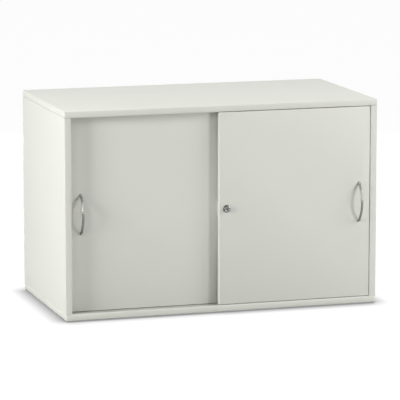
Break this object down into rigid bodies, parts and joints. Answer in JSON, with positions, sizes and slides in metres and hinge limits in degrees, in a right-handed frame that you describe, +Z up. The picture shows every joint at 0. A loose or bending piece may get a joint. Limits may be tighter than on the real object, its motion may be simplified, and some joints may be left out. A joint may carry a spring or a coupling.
{
  "type": "sliding door cabinet",
  "caption": "Low cabinet with two sliding doors in twin tracks, bow handles, a push lock and an adjustable shelf inside.",
  "frame": {"origin": "on the floor, under the middle of the whole cabinet's box, handles included", "axes": "+X along the width towards the front door's side, +Y from the doors to the back, +Z up"},
  "size_m": [0.8, 0.4484, 0.516],
  "materials": {
    "board": "light grey melamine, satin, very fine grain",
    "brushed_nickel": "satin nickel",
    "polished_nickel": "bright nickel",
    "plated_steel": "zinc plated",
    "grey_plastic": "moulded, matte",
    "white_plastic": "moulded, smooth",
    "dark_plastic": "moulded, matte"
  },
  "bodies": {
    "carcass": {"bottom_panel": "board", "top_panel": "board", "left_side_panel": "board", "right_side_panel": "board", "back_panel": "board", "shelf": "board", "shelf_pin_front_left": "plated_steel", "shelf_pin_front_right": "plated_steel", "shelf_pin_rear_left": "plated_steel", "shelf_pin_rear_right": "plated_steel", "glide_front_left": "dark_plastic", "glide_front_right": "dark_plastic", "glide_rear_left": "dark_plastic", "glide_rear_right": "dark_plastic", "carcass_screw_front_left": "plated_steel", "carcass_screw_front_right": "plated_steel", "carcass_screw_rear_left": "plated_steel", "carcass_screw_rear_right": "plated_steel", "cam_bolt_front_left": "plated_steel", "cam_bolt_front_right": "plated_steel", "cam_bolt_rear_left": "plated_steel", "cam_bolt_rear_right": "plated_steel", "cam_front_left": "plated_steel", "cam_front_right": "plated_steel", "cam_rear_left": "plated_steel", "cam_rear_right": "plated_steel", "bottom_track": "grey_plastic", "top_track": "grey_plastic"},
    "front_door": {"front_door_panel": "board", "front_door_handle": "brushed_nickel", "front_door_handle_screw_upper": "plated_steel", "front_door_handle_screw_lower": "plated_steel", "front_door_roller_housing_left": "grey_plastic", "front_door_roller_housing_right": "grey_plastic", "front_door_guide_housing_left": "grey_plastic", "front_door_guide_housing_right": "grey_plastic", "lock_housing": "polished_nickel", "lock_nut": "plated_steel", "lock_spring": "plated_steel"},
    "front_door_wheel_left": {"front_door_wheel_left": "white_plastic"},
    "front_door_wheel_right": {"front_door_wheel_right": "white_plastic"},
    "front_door_guide_pin_left": {"front_door_guide_pin_left": "white_plastic"},
    "front_door_guide_pin_right": {"front_door_guide_pin_right": "white_plastic"},
    "lock_plunger": {"lock_plunger": "polished_nickel"},
    "lock_key_plug": {"lock_key_plug": "brushed_nickel"},
    "rear_door": {"rear_door_panel": "board", "rear_door_handle": "brushed_nickel", "rear_door_handle_screw_upper": "plated_steel", "rear_door_handle_screw_lower": "plated_steel", "rear_door_roller_housing_left": "grey_plastic", "rear_door_roller_housing_right": "grey_plastic", "rear_door_guide_housing_left": "grey_plastic", "rear_door_guide_housing_right": "grey_plastic", "lock_strike": "grey_plastic"},
    "rear_door_wheel_left": {"rear_door_wheel_left": "white_plastic"},
    "rear_door_wheel_right": {"rear_door_wheel_right": "white_plastic"},
    "rear_door_guide_pin_left": {"rear_door_guide_pin_left": "white_plastic"},
    "rear_door_guide_pin_right": {"rear_door_guide_pin_right": "white_plastic"}
  },
  "joints": [
    {"name": "front_door_slide", "type": "slide", "parent": "carcass", "child": "front_door", "axis": [1, 0, 0], "range_m": [-0.338, 0]},
    {"name": "rear_door_slide", "type": "slide", "parent": "carcass", "child": "rear_door", "axis": [1, 0, 0], "range_m": [0, 0.338]},
    {"name": "front_door_wheel_left_turn", "type": "hinge", "parent": "front_door", "child": "front_door_wheel_left", "pos_m": [0.051, -0.19075, 0.0233], "axis": [0, 1, 0], "continuous": true},
    {"name": "front_door_wheel_right_turn", "type": "hinge", "parent": "front_door", "child": "front_door_wheel_right", "pos_m": [0.3225, -0.19075, 0.0233], "axis": [0, 1, 0], "continuous": true},
    {"name": "rear_door_wheel_left_turn", "type": "hinge", "parent": "rear_door", "child": "rear_door_wheel_left", "pos_m": [-0.3225, -0.16875, 0.0233], "axis": [0, 1, 0], "continuous": true},
    {"name": "rear_door_wheel_right_turn", "type": "hinge", "parent": "rear_door", "child": "rear_door_wheel_right", "pos_m": [-0.051, -0.16875, 0.0233], "axis": [0, 1, 0], "continuous": true},
    {"name": "front_door_guide_pin_left_press", "type": "slide", "parent": "front_door", "child": "front_door_guide_pin_left", "axis": [0, 0, 1], "range_m": [-0.006, 0], "stiffness_N_per_m": 250, "springref_m": 0.004},
    {"name": "front_door_guide_pin_right_press", "type": "slide", "parent": "front_door", "child": "front_door_guide_pin_right", "axis": [0, 0, 1], "range_m": [-0.006, 0], "stiffness_N_per_m": 250, "springref_m": 0.004},
    {"name": "rear_door_guide_pin_left_press", "type": "slide", "parent": "rear_door", "child": "rear_door_guide_pin_left", "axis": [0, 0, 1], "range_m": [-0.006, 0], "stiffness_N_per_m": 250, "springref_m": 0.004},
    {"name": "rear_door_guide_pin_right_press", "type": "slide", "parent": "rear_door", "child": "rear_door_guide_pin_right", "axis": [0, 0, 1], "range_m": [-0.006, 0], "stiffness_N_per_m": 250, "springref_m": 0.004},
    {"name": "lock_push", "type": "slide", "parent": "front_door", "child": "lock_plunger", "axis": [0, 1, 0], "range_m": [0, 0.0055], "stiffness_N_per_m": 300, "springref_m": -0.004, "deforming": ["lock_spring"]},
    {"name": "lock_key_turn", "type": "hinge", "parent": "lock_plunger", "child": "lock_key_plug", "pos_m": [0.009, -0.2015, 0.2595], "axis": [0, 1, 0], "range_deg": [0, 90]}
  ],
  "couplings": [
    {"joint": "front_door_wheel_left_turn", "follows": "front_door_slide", "rad_per_m": 111.11},
    {"joint": "front_door_wheel_right_turn", "follows": "front_door_slide", "rad_per_m": 111.11},
    {"joint": "rear_door_wheel_left_turn", "follows": "rear_door_slide", "rad_per_m": 111.11},
    {"joint": "rear_door_wheel_right_turn", "follows": "rear_door_slide", "rad_per_m": 111.11}
  ]
}
